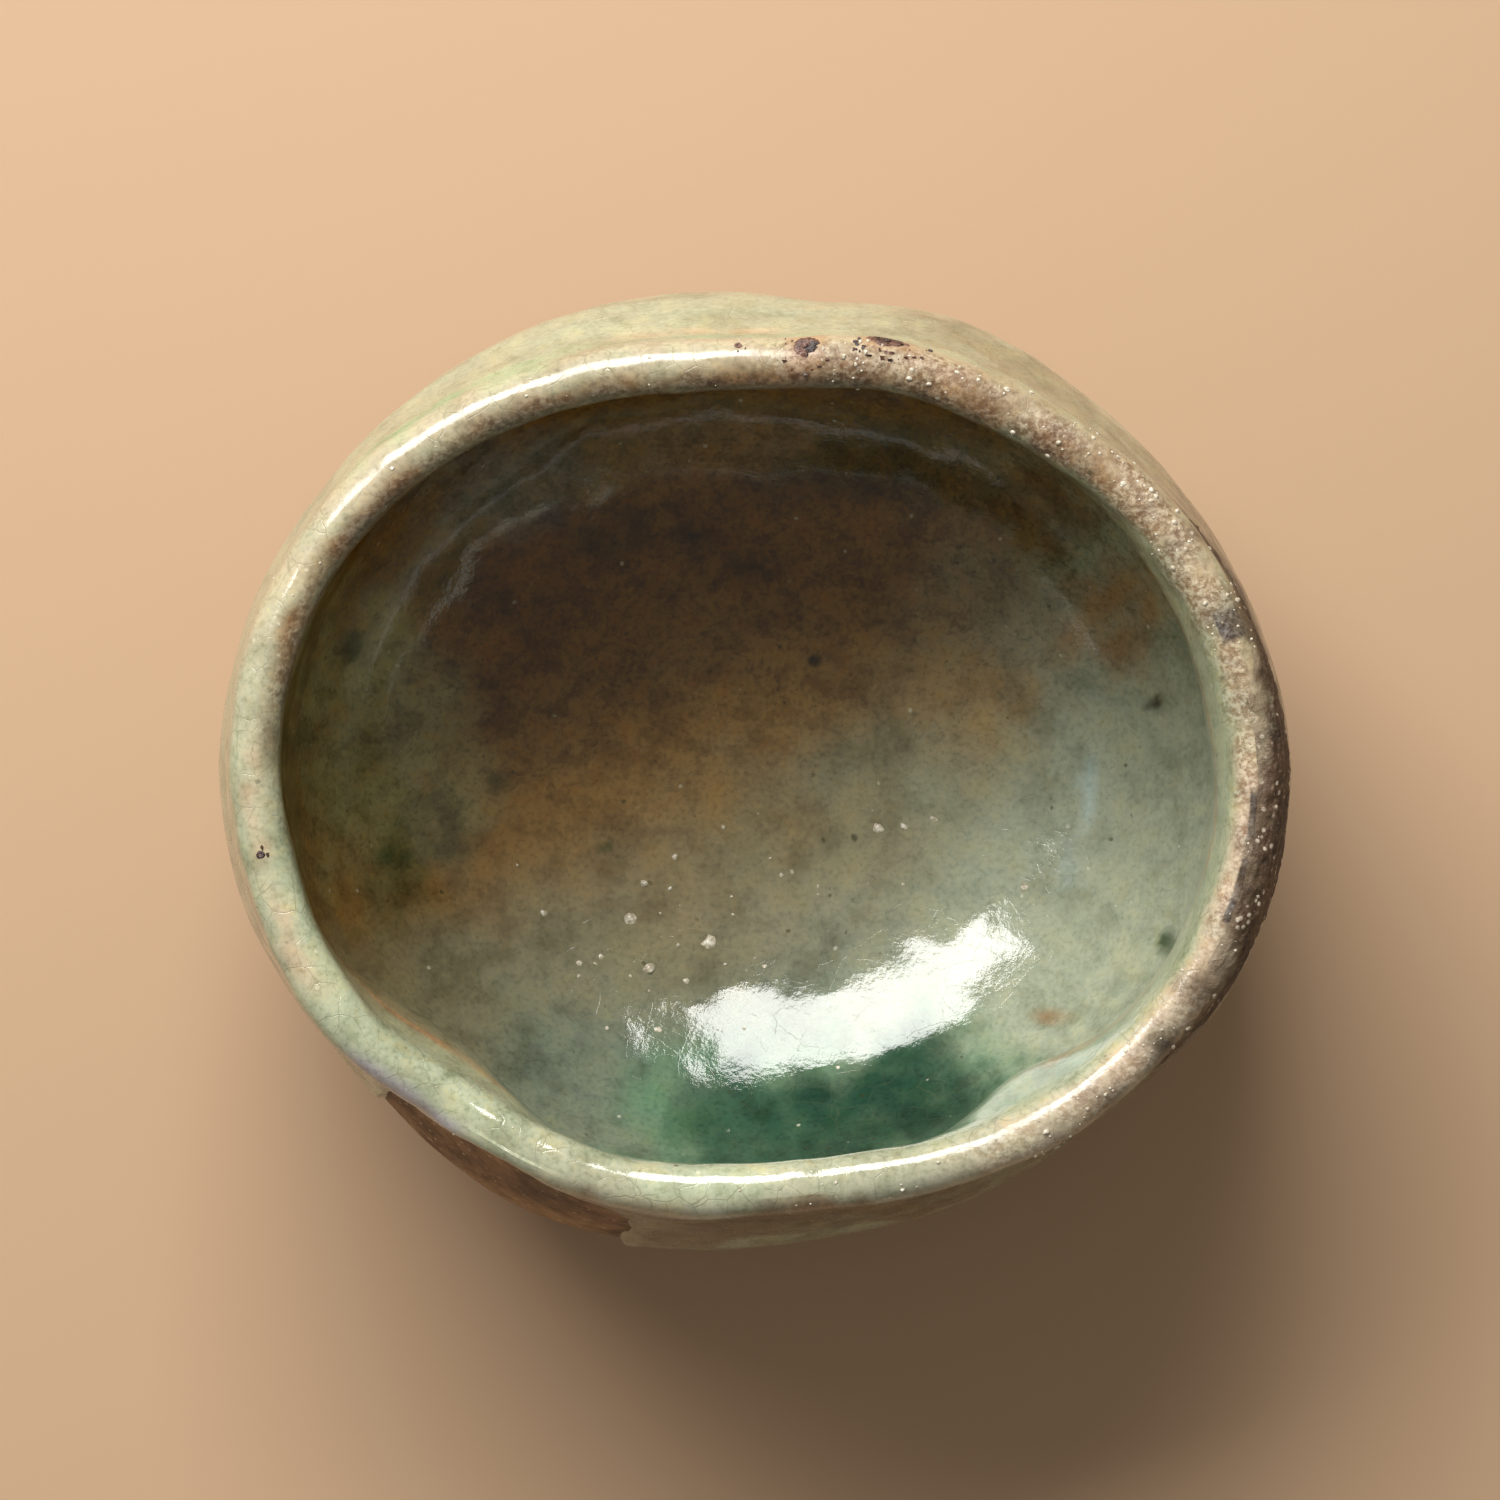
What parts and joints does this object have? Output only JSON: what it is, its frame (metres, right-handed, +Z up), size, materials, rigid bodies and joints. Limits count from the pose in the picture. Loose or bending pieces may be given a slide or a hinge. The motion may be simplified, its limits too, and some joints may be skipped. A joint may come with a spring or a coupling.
{
  "type": "matcha bowl",
  "caption": "Hand-formed oval tea bowl with a round foot ring, pinched wall, wavy lip and crazed green ash glaze over brown clay",
  "frame": {"origin": "centre of the bowl's outline at floor level, on the plane the foot stands on", "axes": "+Z up out of the mouth, +X along the longer width, +Y towards the side with the iron spots on its lip"},
  "size_m": [0.133, 0.1196, 0.0779],
  "materials": {
    "bare_clay": "bare, rough, fired to a grey brown",
    "foot_clay": "bare, rough, worn on its standing face",
    "inside_glaze": "glossy ash glaze, amber at the back to sage green in front, crazed",
    "lip_glaze": "thin glossy cream glaze with sandy brown edges",
    "outside_glaze": "glossy pale green ash glaze, crazed",
    "ash_crust": "scorched, granular, matt",
    "pool_glass": "clear deep green glass",
    "iron": "melted iron, satin",
    "feldspar": "melted white grains"
  },
  "bodies": {
    "root": {"clay_body": "bare_clay", "foot_ring": "foot_clay", "inside_glaze": "inside_glaze", "lip_glaze": "lip_glaze", "outside_glaze": "outside_glaze", "ash_crust": "ash_crust", "green_glass_pool": "pool_glass", "iron_spots": "iron", "feldspar_grains": "feldspar"}
  },
  "joints": []
}
